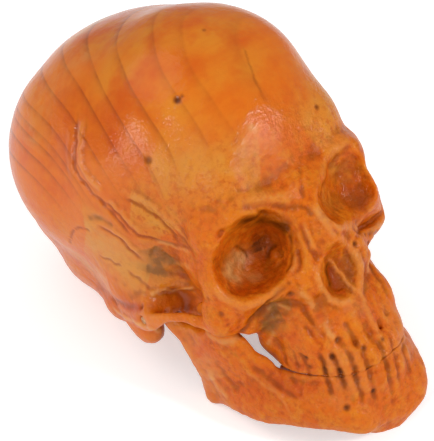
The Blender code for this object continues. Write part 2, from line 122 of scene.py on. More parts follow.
# The bite: the share of their distance that the lips move, how flat the evening's middle is, how quickly it
# comes in at both ends, how many steps the depths are averaged over, and how deep it works.
LIP_SHARE = 1.05
BITE_FLATNESS = 1.3
BITE_ENDS = 6
BITE_BLUR = 9
BITE_THICK = 2.5 * MM

# How strongly and how unevenly a stroke is pressed, over what length, and within what limits.
STROKE_STRENGTH = 0.82
PRESS_SCALE = 2.2 * MM
PRESS_SWAY = 0.6
PRESS_LEAST, PRESS_MOST = 0.3, 1.3

# A stroke's ends: how quickly it comes in, and the share that is left at its very end.
END_TAPER = 10
END_LEAST = 0.15

# The least step along a stroke and how far it wavers, in pixels, how quickly it wavers, and how far the
# wood may be turned away from it.
STEP_LEAST = 1.5
WAVER_REACH = 1.6
WAVER_RATE = 0.13
FACING_LEAST = 0.1

# The seed that a hand's unsteadiness is drawn from.
WAVER_SEED = 1

# The marks of the tools: depth and width, how much narrower the finer ones are, their share, and what is
# left of both on the sanded dome.
TOOL_DEPTH = 0.1 * MM
TOOL_WIDTH = 1.3 * MM
TOOL_FINENESS = 2.3
TOOL_FINE_SHARE = 0.5
SANDED_SHARE = 0.25

# Zones of the skull: where each starts and over what length it comes in. Those in front and below are
# measured forwards and downwards.
TOOLED_IN_FRONT = (16 * MM, 10 * MM)
TOOLED_BELOW = (-30 * MM, 10 * MM)
BASE_BELOW = (-12 * MM, 10 * MM)
RINGS_ABOVE = (20 * MM, 14 * MM)
RINGS_BEHIND = (12 * MM, 12 * MM)
# The worked zone in front gets flecks, veins, a stronger fine relief and less gloss, and its painted shade on
# the face.
WORKED_IN_FRONT = (6 * MM, 12 * MM)
WORKED_LEAST = 0.25

# Paint by relief, which is painted shade in creases and hollows and, partly, painted highlight on ridges:
# passes of the blur that it is measured from, where it starts, and the depth that counts as full.
FINE_PASSES = 16
FINE_DEPTH = 0.08 * MM
BROAD_PASSES = 220
BROAD_START = 0.2 * MM
BROAD_DEPTH = 1.0 * MM

# Colours as the renderer takes them, without gamma.
ORANGE = (0.670, 0.142, 0.003)
OCHRE = (0.650, 0.210, 0.012)
DEEP = (0.600, 0.085, 0.002)
GOLD = (0.620, 0.250, 0.035)
RED = (0.440, 0.048, 0.001)
# BROWN and PIT: painted shade in creases, cuts, pits and deep places, and the colour of the dome's knots and
# crack.
BROWN = (0.200, 0.042, 0.001)
# OLIVE: painted shade beneath the cheekbones; the temples get it too.
OLIVE = (0.230, 0.085, 0.012)
PIT = (0.090, 0.016, 0.001)
# The ridges' lighter colour: partly wear, partly painted highlight.
WEAR_AND_HIGHLIGHT = (0.700, 0.240, 0.015)
# PALE: partly the wood's paler tone, partly painted highlight, painted light and painted sheen.
PALE = (0.660, 0.320, 0.100)
RING = (0.300, 0.045, 0.002)
DOWEL = (0.550, 0.330, 0.150)
FLOOR = (0.93, 0.93, 0.93)
WHITE = (1, 1, 1, 1)

# The growth rings' axis, in the skull's frame, and the radii of their dark edges in mm.
RING_AXIS = Vector((0.964, 0.234, -0.130)).normalized()
RING_CENTRE = Vector((-15.7, 31.1, 8.2)) * MM
RING_RADII = (26.5, 31.0, 34.2, 36.0, 38.9, 44.2, 49.3, 53.7, 58.8, 64.6, 68.0, 72.1, 76.4, 81.0, 85.2)

# In mm: how far a ring's dark edge fades inwards and outwards, and at what radii the edges grow faint.
RING_FADE = 2.2
RING_EDGE = 0.3
RING_FAR = 74.0
RING_FADING = 18.0

# How dark the faintest ring is, the form of the fading, and how far and over what size the rings sway.
RING_FAINTEST = 0.35
RING_POWER = 3.0
RING_SWAY = 1.8 * MM
RING_SWAY_SCALE = 55.0

# The noises in the wood: whether it is drawn out along the fibres, scale, detail, roughness.
NOISES = {
    "streaks": (True, 1100.0, 3.0, 0.65),
    "bands": (True, 220.0, 3.0, 0.6),
    "blobs": (False, 48.0, 3.0, 0.55),
    "patches": (False, 130.0, 3.0, 0.6),
    "mottle": (False, 420.0, 4.0, 0.65),
    "fleck": (False, 700.0, 3.0, 0.6),
    "pores": (False, 1500.0, 2.0, 0.6),
    "marbling": (False, 260.0, 3.0, 0.6),
}
FIBRE_STRETCH = (0.12, 1, 1)

# Colours laid over the orange one by one: colour, strength, and what it keeps to. That is the name of a
# painted layer or a noise, with the values where the colour starts and where it is full if these aren't 0 and
# 1.
LAYERS = (
    (OCHRE, 1.0, ("blobs", 0.48, 0.68)),
    (DEEP, 0.8, ("patches", 0.46, 0.68)),
    (DEEP, 0.5, ("bands", 0.5, 0.72)),
    # Painted shade: the face darkened as if less light reached it from above.
    (DEEP, 0.35, "worked_and_shaded"),
    (GOLD, 0.9, "ochre"),
    (RING, 0.72, "ring edges", "rings", ("patches", 0.2, 0.5)),
    (OCHRE, 0.55, ("mottle", 0.5, 0.64), "marked"),
    (RED, 0.55, ("fleck", 0.52, 0.66), "worked_and_shaded"),
    (RED, 0.5, ("veins", 0.022, 0.0), "worked_and_shaded", ("patches", 0.35, 0.6)),
    (RING, 0.3, ("streaks", 0.55, 0.75), "marked"),
    # Ridges lightened: partly wear, partly painted highlight.
    (WEAR_AND_HIGHLIGHT, 0.25, "edge"),
    # Broad hollows redder and darker: partly staining, partly painted shade.
    (RED, 0.6, "hollow"),
    (RED, 0.8, "red", ("mottle", 0.2, 0.5)),
    # Pale paint: partly the wood's paler tone, partly painted highlight on ridges, painted light on the
    # sockets' lit walls and painted sheen along the dome's outline.
    (PALE, 0.85, "pale", ("mottle", 0.2, 0.5)),
    # Painted shade in the fine creases.
    (BROWN, 0.45, "cavity"),
    # Olive: painted shade beneath the cheekbones; the temples get it too.
    (OLIVE, 0.9, "olive", ("mottle", 0.1, 0.5)),
    # Dark paint: painted shade in cuts, pits and deep places, and the own colour of the dome's knots and
    # crack.
    (BROWN, 0.9, ("dark", 0.0, 0.7), ("mottle", 0.1, 0.45)),
    (PIT, 0.8, ("dark", 0.6, 1.0)),
)

# Slope and value at 0 of what follows a painted layer or a noise in a straight line.
MARKED_BY_WORKED = (0.8, 0.2)
GLOSS_BY_WORKED = (-0.34, 0.58)
RELIEF_BY_WORKED = (0.8, 0.35)
ROUGHNESS_BY_MOTTLE = (0.3, 0.22)

# The fine relief and the surface.
RELIEF_SHARES = {"pores": 0.8, "mottle": 1.0, "streaks": 0.5}
RELIEF = {"Strength": 0.8, "Distance": 0.3 * MM}
WOOD_SPECULAR = 0.02
OIL_ROUGHNESS = 0.12

# The dowels' wood: its grain's scale, detail, roughness and the values between which it darkens.
DOWEL_STRETCH = (0.1, 1, 1)
DOWEL_GRAIN = (2500.0, 3.0, 0.6)
DOWEL_DARKENING = (0.4, 0.7)
DOWEL_RELIEF = {"Strength": 0.3, "Distance": 0.05 * MM}
DOWEL_ROUGHNESS = 0.55

# Soft boxes, aimed at the skull's middle: name, direction, width and height in metres, level.
MIDDLE = Vector((0, 0, 0.036))
LAMP_DISTANCE = 0.6
LAMPS = (
    ("back side box", (-0.96, 0.25, 0.12), 0.14, 0.14, 0.1),
    ("side box", (-0.8, -0.35, 0.43), 0.11, 0.085, 0.25),
    ("top box", (-0.4, 0.35, 0.84), 0.7, 0.7, 0.32),
    ("front box", (0.3, -0.79, 0.54), 0.1, 0.075, 0.39),
    ("low front box", (0.5, -0.82, 0.28), 0.05, 0.04, 0.05),
)
EVEN_LEVEL = 0.41

# The floor: half its side in metres, the glow that makes it white to the camera, and its surface.
FLOOR_HALF = 1.5
FLOOR_GLOW = 0.42
FLOOR_ROUGHNESS = 0.9
FLOOR_SPECULAR = 0.1


# Tables of the strokes

# For each stroke: width in mm, height in mm (below 0 it is cut), the colours it paints, and pixels that it
# runs through. Its dark paint in cuts, pits and deep places is painted shade, and its pale paint on ridges
# left standing is painted highlight, save on the dome.

# Right temple, arch and mastoid, mirrored to the left.
TEMPLE = (
    (0.7, -0.4, dict(red=0.7), (
        (78, 115), (76, 135), (73, 165), (80, 180), (100, 200), (112, 214), (124, 228), (134, 238),
    )),
    (1.1, 0.35, dict(pale=0.2), ((83, 116), (81, 136), (79, 160), (86, 175), (105, 195))),
    (1.2, 0.2, dict(red=0.3), ((70, 130), (68, 160), (74, 182))),
    (0.7, -0.4, dict(red=0.8), ((101, 200), (112, 208), (122, 220), (132, 231), (142, 238))),
    (1.0, 0.3, dict(pale=0.3), ((108, 200), (120, 212), (131, 224), (141, 233))),
    (0.7, -0.35, dict(red=0.8), ((136, 236), (152, 238), (167, 243), (180, 246), (192, 249))),
    (0.8, 0.25, dict(pale=0.6), ((155, 240), (170, 244), (190, 251))),
    (1.2, 0.4, dict(pale=0.3), (
        (124, 193), (138, 197), (152, 206), (165, 215), (177, 226), (187, 238), (194, 249),
    )),
    (0.7, -0.35, dict(red=0.7), ((122, 198), (136, 203), (150, 213), (162, 222), (172, 232), (178, 242))),
    (1.4, -0.3, dict(olive=0.4), ((87, 218), (99, 218), (107, 222), (112, 226))),
    (0.6, -0.25, dict(red=0.7), ((70, 244), (71, 236), (76, 227), (83, 229), (91, 232))),
    (0.7, -0.35, dict(red=0.9), ((98, 226), (108, 231), (119, 238), (130, 250), (142, 261))),
    (1.0, 0.3, dict(pale=0.3), ((104, 224), (116, 232), (128, 243), (139, 254))),
    (0.6, -0.2, dict(red=0.5), ((99, 256), (108, 260), (121, 266))),
    (3.5, -0.5, dict(olive=0.5), ((150, 252), (160, 257), (170, 256))),
    (3.2, -0.3, dict(olive=0.4), ((146, 268), (155, 273), (164, 268))),
    (1.6, -0.35, dict(red=0.8), ((112, 298), (122, 305), (134, 309), (144, 306))),
    (0.9, 0.3, dict(pale=0.8), ((113, 308), (124, 316), (135, 322), (150, 329), (163, 331))),
    (1.0, -0.5, dict(dark=0.24), ((139, 307), (141, 309))),
    (0.8, 0.35, dict(pale=0.7), ((150, 295), (158, 290), (178, 289), (196, 287))),
    (1.2, -0.3, dict(red=0.6), ((160, 270), (175, 275), (192, 278))),
    (0.9, -0.25, dict(red=0.5), ((128, 272), (140, 280), (150, 290))),
    (1.4, 0.25, dict(pale=0.3), ((165, 262), (178, 264), (190, 266))),
)

# Valleys between the teeth, and the pits beside them.
# The dark in the valleys and the pits is painted shade, and the pale on the ridges painted highlight.
TEETH = (
    (0.7, -0.25, dict(dark=0.15, red=0.3), ((284, 352), (287, 362), (290, 372), (296, 384))),
    (0.7, -0.2, dict(dark=0.15, red=0.3), ((292, 350), (296, 360), (299, 370))),
    (0.8, -0.35, dict(dark=0.3, red=0.3), ((300, 352), (305, 360), (308, 367), (310, 378))),
    (0.9, -0.5, dict(dark=0.45, red=0.3), ((318, 352), (323, 362), (325, 372), (328, 382), (331, 396))),
    (0.9, -0.5, dict(dark=0.45, red=0.3), ((330, 352), (335, 360), (338, 368), (341, 378), (346, 392))),
    (0.9, -0.5, dict(dark=0.45, red=0.3), (
        (348, 350), (352, 360), (355, 371), (357, 380), (361, 392), (362, 402),
    )),
    (1.0, -0.45, dict(dark=0.3, red=0.3), ((363, 348), (367, 362), (371, 375), (374, 390), (376, 402))),
    (1.0, -0.4, dict(dark=0.4), ((378, 338), (384, 355), (388, 370), (391, 385))),
    (0.9, -0.3, dict(dark=0.15, red=0.3), ((390, 335), (394, 350), (398, 368), (400, 380))),
    (0.9, -0.3, dict(dark=0.15, red=0.3), ((402, 340), (406, 355), (410, 372))),
    (1.2, 0.35, {}, ((323, 346), (329, 360), (333, 376), (338, 392))),
    (1.2, 0.35, {}, ((339, 346), (345, 360), (349, 376), (353, 392))),
    (1.2, 0.35, {}, ((355, 346), (360, 360), (364, 376), (368, 394))),
    (1.2, 0.3, {}, ((370, 342), (376, 358), (380, 374), (384, 390))),
    (1.0, -0.4, dict(dark=0.15, red=0.3), ((304, 325), (313, 335), (322, 345))),
    (1.0, 0.35, dict(pale=0.5), ((323, 323), (328, 330), (334, 340))),
    (1.0, -0.3, dict(dark=0.2), ((345, 322), (352, 334), (358, 346))),
    (1.2, 0.25, {}, ((312, 322), (320, 334), (327, 344))),
    (1.0, -0.6, dict(dark=1.0), ((338, 340),)),
    (0.9, -0.5, dict(dark=1.0), ((332, 357),)),
    (0.9, -0.4, dict(dark=0.9), ((364, 348),)),
    (0.8, -0.35, dict(dark=0.8), ((383, 339),)),
    (1.1, -0.6, dict(dark=1.0), ((347, 408),)),
    (0.8, -0.4, dict(dark=0.9), ((374, 392),)),
    (0.7, -0.3, dict(dark=0.8), ((306, 358),)),
    (0.7, -0.3, dict(dark=0.8), ((310, 367),)),
    (0.9, -0.3, dict(dark=0.6), ((325, 368), (326, 376))),
    (0.9, -0.3, dict(dark=0.6), ((339, 368), (341, 378))),
    (0.9, -0.3, dict(dark=0.6), ((354, 367), (356, 377))),
    (1.8, -0.15, dict(red=0.5), ((368, 366), (376, 374), (384, 382))),
)

# The cheekbone, and the swirls in the hollow beside it, mirrored to the left. The olive under the cheekbone is
# painted shade, as is the dark in its creases and pits, and the pale on its ridges and lower edge is painted
# highlight.
CHEEK = (
    (1.0, -0.7, dict(dark=0.5), ((288, 284), (279, 293), (268, 303), (256, 315), (246, 328), (238, 338))),
    (3.2, -0.9, dict(olive=0.4), ((279, 306), (270, 316), (264, 326))),
    (3.6, 0, dict(olive=0.8), ((262, 326), (272, 326), (282, 316))),
    (2.6, 0, dict(olive=0.6), ((268, 306), (280, 300), (292, 304))),
    (0.7, -0.3, dict(dark=0.35), ((256, 322), (262, 312), (272, 304), (285, 302), (296, 306))),
    (0.7, 0.4, dict(pale=0.7), ((266, 311), (274, 307), (283, 306), (290, 309))),
    (0.7, -0.3, dict(dark=0.35), ((258, 330), (266, 318), (276, 313), (288, 314))),
    (0.7, 0.35, dict(pale=0.4), ((262, 326), (270, 318), (280, 317))),
    (0.7, -0.3, dict(dark=0.3), ((258, 337), (266, 328), (276, 322), (286, 322))),
    (0.8, 0.35, dict(pale=0.5), ((268, 345), (272, 338), (274, 331))),
    (0.9, -0.45, dict(dark=0.3, red=0.3), ((290, 299), (300, 305), (309, 316), (318, 330), (326, 342))),
    (1.1, 0.45, dict(pale=0.5), ((300, 291), (308, 298), (315, 308))),
    (0.9, -0.3, dict(red=0.4), ((306, 289), (316, 296), (323, 306))),
    (0.9, -0.3, dict(red=0.4), ((300, 318), (308, 328), (315, 338))),
    (0.9, 0.35, {}, ((296, 312), (304, 320), (312, 331))),
    (1.1, -0.7, dict(dark=1.0), ((290, 294),)),
    (1.5, 0.2, dict(red=0.5), ((286, 298), (290, 290), (295, 288))),
    (0.8, -0.3, dict(dark=0.5), ((289, 283),)),
    (0.8, -0.25, dict(red=0.5), ((208, 299),)),
    (1.1, -0.6, dict(red=0.9, dark=0.4), ((221, 315),)),
    (0.8, -0.35, dict(red=0.8), ((228, 325),)),
    (1.2, 0.3, dict(pale=0.5), ((203, 328), (212, 337), (222, 341), (231, 342), (240, 334))),
    (1.0, -0.2, dict(red=0.4), ((236, 310), (240, 320), (238, 330))),
)

# The rims of the right eye socket, mirrored to the left, what lies inside it, and the left socket's own.
# The dark in the fold under the brow and in the grooves is painted shade, and the pale along the brow ridge
# and the rims is painted highlight.
SOCKET_RIM = (
    (1.4, 0.4, dict(pale=0.3), ((213, 284), (222, 297), (236, 305), (248, 307), (266, 299), (284, 286))),
    (1.2, -0.5, dict(red=0.5, dark=0.15), ((240, 208), (255, 205), (275, 206), (290, 207), (300, 207))),
    (2.2, 0.55, dict(pale=0.15), ((236, 203), (252, 198), (275, 198), (294, 199))),
    (0.8, -0.35, dict(red=0.6, dark=0.1), ((297, 250), (301, 262), (297, 273))),
    (1.0, 0.4, dict(pale=0.3), ((294, 256), (296, 264), (291, 272))),
    (1.0, 0.3, {}, ((296, 232), (302, 245))),
)
# Inside: the dark across the top is a painted shadow of the brow, the dark in the middle and in the grooves
# painted shade, and the pale crescent on the outer wall painted light.
SOCKET_INSIDE = (
    (2.4, 1.2, dict(red=0.5), ((277, 255),)),
    (0.7, -0.5, dict(dark=0.6), ((268, 258), (270, 248), (277, 245))),
    (0.8, 0.45, {}, ((283, 245), (286, 256), (280, 264), (271, 265))),
    (0.9, -0.5, dict(dark=0.4), ((289, 232), (291, 248), (291, 262), (286, 271))),
    (3.2, 0, dict(pale=1.0), ((229, 281), (231, 266), (238, 252))),
    (2.6, 0, dict(pale=0.7), ((236, 282), (238, 268), (245, 252))),
    (0.5, -0.2, dict(dark=0.8), ((236, 245), (243, 250), (248, 258))),
    (4.2, 0, dict(dark=0.8), ((238, 222), (256, 218), (278, 222), (288, 232))),
    (3.4, 0, dict(dark=0.9), ((256, 240), (262, 250))),
    (2.0, 0, dict(red=0.9), ((233, 292), (245, 291), (262, 286), (276, 276))),
    (2.4, 0, dict(pale=0.4, red=0.4), ((247, 280), (262, 274))),
)
# The left socket's dark at its deepest place, in its groove and in its pit is painted shade, and the pale on
# its lower rim painted highlight.
LEFT_SOCKET = (
    (4.0, 0, dict(dark=0.3, red=0.6), ((352, 190), (362, 200), (358, 212))),
    (4.2, 0, dict(ochre=0.45), ((322, 193), (332, 205), (340, 210))),
    (3.6, 0, dict(ochre=0.7), ((328, 165), (340, 172), (350, 170))),
    (0.9, -0.35, dict(dark=0.2, red=0.5), ((383, 212), (370, 220), (360, 228), (355, 240))),
    (0.9, -0.5, dict(dark=0.8), ((355, 244),)),
    (1.2, 0.3, dict(pale=0.3), ((318, 206), (328, 220), (340, 230), (355, 226), (366, 216))),
)

# The root of the nose and the nose opening.
NOSE = (
    (0.8, -0.35, dict(dark=0.3, red=0.3), ((300, 205), (306, 208), (312, 215))),
    (0.8, -0.2, dict(red=0.3), ((300, 165), (302, 185), (303, 200))),
    (0.9, -0.35, dict(red=0.5), ((300, 225), (305, 240), (312, 252), (318, 260))),
    (0.8, 0.3, dict(pale=0.3), ((304, 224), (309, 238), (316, 249))),
    (0.7, -0.3, dict(red=0.5), ((307, 240), (311, 250), (316, 256))),
    (1.1, 0.4, dict(pale=0.4), ((314, 207), (325, 222), (336, 238))),
    (0.7, -0.3, dict(red=0.3), ((318, 208), (328, 221), (339, 236))),
    (1.6, 0.45, dict(pale=0.3), ((340, 238), (351, 249), (360, 262), (363, 278), (360, 290))),
    (1.2, 0.35, dict(pale=0.4), ((317, 270), (320, 287), (329, 299), (340, 304), (352, 300))),
    (1.1, 0.25, dict(pale=0.3), ((360, 288), (364, 302), (371, 320), (378, 332))),
)
# Inside the opening the dark on its walls is painted shade and the pale on the ridge painted highlight.
NOSE_INSIDE = (
    (0.7, 0.9, dict(pale=0.5), ((328, 259), (335, 266), (341, 275), (349, 284), (355, 291))),
    (2.0, -0.5, dict(red=0.8), ((330, 266), (332, 280), (340, 291))),
    (1.6, 0, dict(dark=0.7), ((326, 262), (327, 276), (331, 287))),
    (1.4, 0, dict(dark=0.4), ((345, 268), (351, 277))),
    (2.6, 0, dict(ochre=0.6), ((344, 254), (351, 266))),
    (1.4, 0, dict(red=1.0), ((338, 291), (346, 293))),
)

# The bite, where the two rows of teeth meet almost flush.
SEAM = (
    (274, 365), (288, 370), (308, 374.6), (326, 375.6), (336, 376.4), (346, 375), (354, 372.6), (366, 368),
    (380, 361), (392, 353), (402, 345),
)

# Leftovers of the solids' sockets and roots that are melted away: pixel and width in mm.
MELTED = (
    ((360, 224), 4), ((357, 216), 3), ((326, 192), 3), ((262, 213), 2.8), ((274, 215), 2.6),
    ((285, 222), 2.6), ((354, 339), 2.6), ((381, 325), 2.6), ((368, 331), 2.6), ((361, 343), 2.2),
    ((393, 318), 2.2), ((331, 357), 2),
)

# Drags: width in mm, from one pixel to another, sides.
PULLS = (
    (6, (236, 341), (243, 340), BOTH),
    (5, (248, 352), (250, 350), BOTH),
    (5, (262, 366), (266, 361), BOTH),
    (5, (268, 373), (272, 367), BOTH),
    (5, (186, 336), (187, 328), BOTH),
    (7, (361, 431), (365, 424), HERE),
    (7, (386, 426), (387, 424), HERE),
    (7, (408, 408), (411, 413), HERE),
    (8, (300, 415), (300, 418), HERE),
    (7, (262, 410), (261, 414), HERE),
    (6, (208, 394), (211, 393), BOTH),
    (22, (62, 78), (54, 72), HERE),
    (20, (278, 52), (283, 47), HERE),
    (8, (392, 312), (395, 312), HERE),
    (5, (375, 262), (365, 262), HERE),
    (5, (160, 322), (160, 318), BOTH),
    (5, (174, 323), (174, 317), BOTH),
    (5, (188, 323), (188, 317), BOTH),
)

# Lower jaw, mirrored to the left.
JAW = (
    (0.6, 0.22, dict(pale=0.2), ((245, 370), (260, 382), (275, 393))),
    (0.6, 0.22, dict(pale=0.2), ((262, 378), (276, 391), (285, 402), (292, 415))),
    (1.2, -0.35, dict(red=0.4), ((245, 357), (262, 375), (280, 390), (300, 400))),
    (2.8, -0.4, dict(red=0.6), ((268, 374), (285, 386), (305, 392))),
    (1.6, -0.25, dict(red=0.3), ((215, 360), (225, 375), (240, 392))),
    (1.4, 0.2, dict(pale=0.4), ((205, 365), (215, 382), (228, 398))),
)

# The dome's crack, knots and a pale spot.
DOME = (
    (0.5, -0.1, dict(dark=0.22), ((242, 45), (251, 70), (261, 94), (269, 104))),
    (1.2, -0.45, dict(dark=1.0), ((177, 100),)),
    (0.6, -0.15, dict(dark=0.6), ((182, 96),)),
    (1.3, -0.3, dict(dark=0.6), ((148, 160),)),
    (1.6, 0.05, dict(pale=0.7), ((252, 128),)),
    (0.9, -0.3, dict(dark=0.8), ((317, 107),)),
    (0.7, -0.1, dict(dark=0.6), ((204, 30),)),
)

# Broad colours, without a cut, mirrored to the left.
WASHES = (
    (12, 0, dict(ochre=0.7), ((150, 180), (205, 165), (262, 172))),
    (12, 0, dict(ochre=1.0), ((85, 235), (115, 255), (150, 280))),
    (8, 0, dict(ochre=0.8), ((130, 205), (150, 215), (170, 232))),
    (7, 0, dict(pale=0.5), ((72, 250), (92, 268), (110, 285))),
    (6, 0, dict(olive=0.6), ((148, 248), (160, 260), (156, 276))),
    (4, 0, dict(olive=0.3), ((170, 262), (185, 272))),
    (5, 0, dict(red=0.6), ((160, 302), (180, 302), (198, 302))),
    (5, 0, dict(red=0.5), ((95, 285), (115, 300), (140, 308))),
    (14, 0, dict(red=0.35), ((60, 90), (62, 130), (75, 165))),
    (9, 0, dict(red=0.3), ((105, 95), (118, 140), (140, 170))),
    (7, 0, dict(pale=0.2), ((395, 300), (402, 335), (412, 360))),
    (8, 0, dict(red=0.3), ((245, 372), (300, 385), (360, 390))),
    (7, 0, dict(pale=0.35), ((200, 355), (215, 380))),
    # Painted sheen: the pale wash along the dome's outline.
    (9, 0, dict(pale=0.3), ((30, 150), (40, 90), (90, 45))),
)

# The bowls of both eye sockets and of the nose: pixels of the deepest place and of the rim, depth in mm,
# the share of the rim's radius where the bowl's influence ends, sides.
HOLLOWS = (
    ((264, 246), (
        (211, 262), (214, 280), (226, 294), (240, 302), (256, 298), (270, 291), (284, 281), (291, 266),
        (292, 250), (289, 236), (282, 224), (270, 216), (256, 213), (242, 215), (230, 224), (219, 242),
    ), 9.5, 1.14, BOTH),
    ((352, 190), (
        (316, 194), (320, 170), (326, 153), (338, 148), (352, 147), (364, 158), (373, 178), (380, 197),
        (368, 211), (352, 222), (338, 226), (327, 220), (318, 207),
    ), 6.8, 1.36, HERE),
    ((341, 270), (
        (338, 239), (328, 247), (321, 259), (319, 275), (323, 290), (332, 299), (341, 301), (351, 298),
        (357, 288), (360, 273), (358, 260), (349, 246),
    ), 4.2, 1.3, HERE),
)


# The camera, and what it sees

def camera_axes():
    """The camera's right, up and back in the skull's frame."""
    back = Vector((
        math.sin(CAM_TURN) * math.cos(CAM_RISE),
        -math.cos(CAM_TURN) * math.cos(CAM_RISE),
        math.sin(CAM_RISE),
    ))
    right = Vector((0, 0, 1)).cross(back).normalized()
    up = back.cross(right)
    cos, sin = math.cos(CAM_ROLL), math.sin(CAM_ROLL)
    return right * cos + up * sin, up * cos - right * sin, back


RIGHT, UP, BACK = camera_axes()
EYE = CAM_AIM + BACK * CAM_DISTANCE


def link(obj):
    bpy.context.scene.collection.objects.link(obj)
    return obj


def add_camera():
    data = bpy.data.cameras.new("camera")
    camera = link(bpy.data.objects.new("camera", data))
    placed = Matrix((RIGHT, UP, BACK)).transposed().to_4x4()
    placed.translation = EYE
    camera.matrix_world = TO_WORLD @ placed
    data.sensor_fit = "AUTO"
    longest = max(PHOTO_WIDTH, PHOTO_HEIGHT)
    data.lens = CAM_FOCAL * data.sensor_width / longest
    data.shift_x = (PHOTO_WIDTH / 2 - CAM_CENTRE[0]) / longest
    data.shift_y = (CAM_CENTRE[1] - PHOTO_HEIGHT / 2) / longest
    data.clip_start = CLIP_NEAR
    data.clip_end = CLIP_FAR
    bpy.context.scene.camera = camera


def pixel_ray(x, y):
    """Direction in the skull's frame of the ray through a pixel of the photograph."""
    across = (x - CAM_CENTRE[0]) / CAM_FOCAL
    down = (y - CAM_CENTRE[1]) / CAM_FOCAL
    return (RIGHT * across - UP * down - BACK).normalized()


def eye_on(side):
    """The camera's place, mirrored for side -1."""
    return Vector((EYE.x * side, EYE.y, EYE.z))


def ray_on(pixel, side):
    """The ray through a pixel, mirrored for side -1."""
    ray = pixel_ray(*pixel)
    return Vector((ray.x * side, ray.y, ray.z))


def seen_at(co, side):
    """Where the camera, or the mirrored one, sees points, in pixels, and their depth along its view."""
    away = co * np.array((side, 1, 1)) - np.array(EYE)
    depth = -away @ np.array(BACK)
    x = CAM_CENTRE[0] + CAM_FOCAL * (away @ np.array(RIGHT)) / depth
    y = CAM_CENTRE[1] - CAM_FOCAL * (away @ np.array(UP)) / depth
    return x, y, depth


def depth_at(tree, pixel, side):
    """The depth of the surface that is seen at a pixel; not a number where none is."""
    hit = tree.ray_cast(eye_on(side), ray_on(pixel, side))[0]
    return math.nan if hit is None else seen_at(np.array([hit]), side)[2][0]


def is_seen(tree, eye, point):
    """Whether a point of the surface is in view from the eye."""
    away = Vector(point) - eye
    hit = tree.ray_cast(eye, away.normalized())
    return hit[0] is not None and hit[3] > away.length - HIDDEN_BY


# The wood

def even_mesh(mesh):
    """The same form meshed finely and evenly."""
    work = link(bpy.data.objects.new("work", mesh))
    remesh = work.modifiers.new("Fine", "REMESH")
    remesh.mode = "VOXEL"
    remesh.voxel_size = GRAIN
    graph = bpy.context.evaluated_depsgraph_get()
    fine = bpy.data.meshes.new_from_object(work.evaluated_get(graph))
    bpy.data.objects.remove(work)
    return fine


def rough_out(node):
    """A CAD node's form, in the skull's frame."""
    mesh = frame["nodes"][node].data.copy()
    mesh.transform(TO_WORLD.inverted())
    return even_mesh(mesh)


def column(items, key, width, kind=np.float64):
    """A property of all items of a mesh, as rows of numbers."""
    flat = np.empty(len(items) * width, kind)
    items.foreach_get(key, flat)
    return flat.reshape(-1, width)


def passes_for(reach):
    """Passes of blurring that melt detail smaller than reach, in metres."""
    return max(1, round((2 * reach / GRAIN) ** 2))


class Wood:
    """All the carved pieces at once: points, edges, and what is painted on each point."""

    def __init__(self, meshes):
        self.meshes = meshes
        counts = [len(mesh.vertices) for mesh in meshes]
        starts = [sum(counts[:k]) for k in range(len(counts) + 1)]
        self.spans = list(zip(starts, starts[1:]))
        self.co = np.concatenate([column(mesh.vertices, "co", 3) for mesh in meshes])
        self.edges = np.concatenate([
            column(mesh.edges, "vertices", 2, np.int32) + start for mesh, start in zip(meshes, starts)
        ])
        self.degree = np.bincount(self.edges.ravel(), minlength=len(self.co))
        self.paint = {name: np.zeros(len(self.co)) for name in STAINS_AND_PAINTED_LIGHT}
        self.refresh()

    def refresh(self):
        """Writes the points back to the meshes and reads the normals."""
        for mesh, (a, b) in zip(self.meshes, self.spans):
            mesh.vertices.foreach_set("co", self.co[a:b].ravel())
            mesh.update()
        self.normal = np.concatenate([column(mesh.vertex_normals, "vector", 3) for mesh in self.meshes])

    def mean(self, values):
        """The mean of a value over each point's neighbours."""
        if values.ndim > 1:
            return np.stack([self.mean(row) for row in values.T], axis=1)
        i, j = self.edges.T
        size = len(self.co)
        total = np.bincount(i, values[j], size) + np.bincount(j, values[i], size)
        return total / self.degree

    def spread(self, values, passes):
        """Values blurred over the surface."""
        for _ in range(passes):
            values = 0.5 * (values + self.mean(values))
        return values

    def hollow(self, smooth):
        """How deep each point lies below a smoothed surface."""
        return np.sum((smooth - self.co) * self.normal, axis=1)

    def soften(self, reach, weight=1.0):
        """Melts detail smaller than reach, in metres."""
        smooth = self.spread(self.co, passes_for(reach))
        weight = np.broadcast_to(weight, len(self.co))[:, None]
        self.co += weight * (smooth - self.co)
        self.refresh()

    def melt_facets(self):
        """Rounds the gentle surfaces and keeps rims, teeth and grooves."""
        smooth = self.spread(self.co, passes_for(FACET_REACH))
        depth = np.abs(self.hollow(smooth))
        gentle = np.exp(-(depth / FACET_DEPTH) ** 2)
        gentle = self.spread(gentle, passes_for(FACET_BLEND))
        self.co += gentle[:, None] * (smooth - self.co)
        self.refresh()

    def slide(self, index, side, depth, goal, weight):
        """Moves points along their rays from their depth towards another one."""
        away = self.co[index] - np.array(eye_on(side))
        self.co[index] += away * (weight * (goal / depth[index] - 1))[:, None]

    def tree(self):
        """What rays are cast against: every piece as it is now."""
        points = [Vector(p) for p in self.co]
        faces = []
        for mesh, (start, _) in zip(self.meshes, self.spans):
            faces += [[v + start for v in face.vertices] for face in mesh.polygons]
        return BVHTree.FromPolygons(points, faces)


# Helps for carving

def noise_rows(points, size):
    """Noise at each point, with lumps of about a size in metres."""
    return np.array([noise.noise(Vector(point) / size) for point in points])


def ramp(value, start, length):
    """0 up to the start, 1 from a length beyond it."""
    return np.clip((value - start) / length, 0, 1)


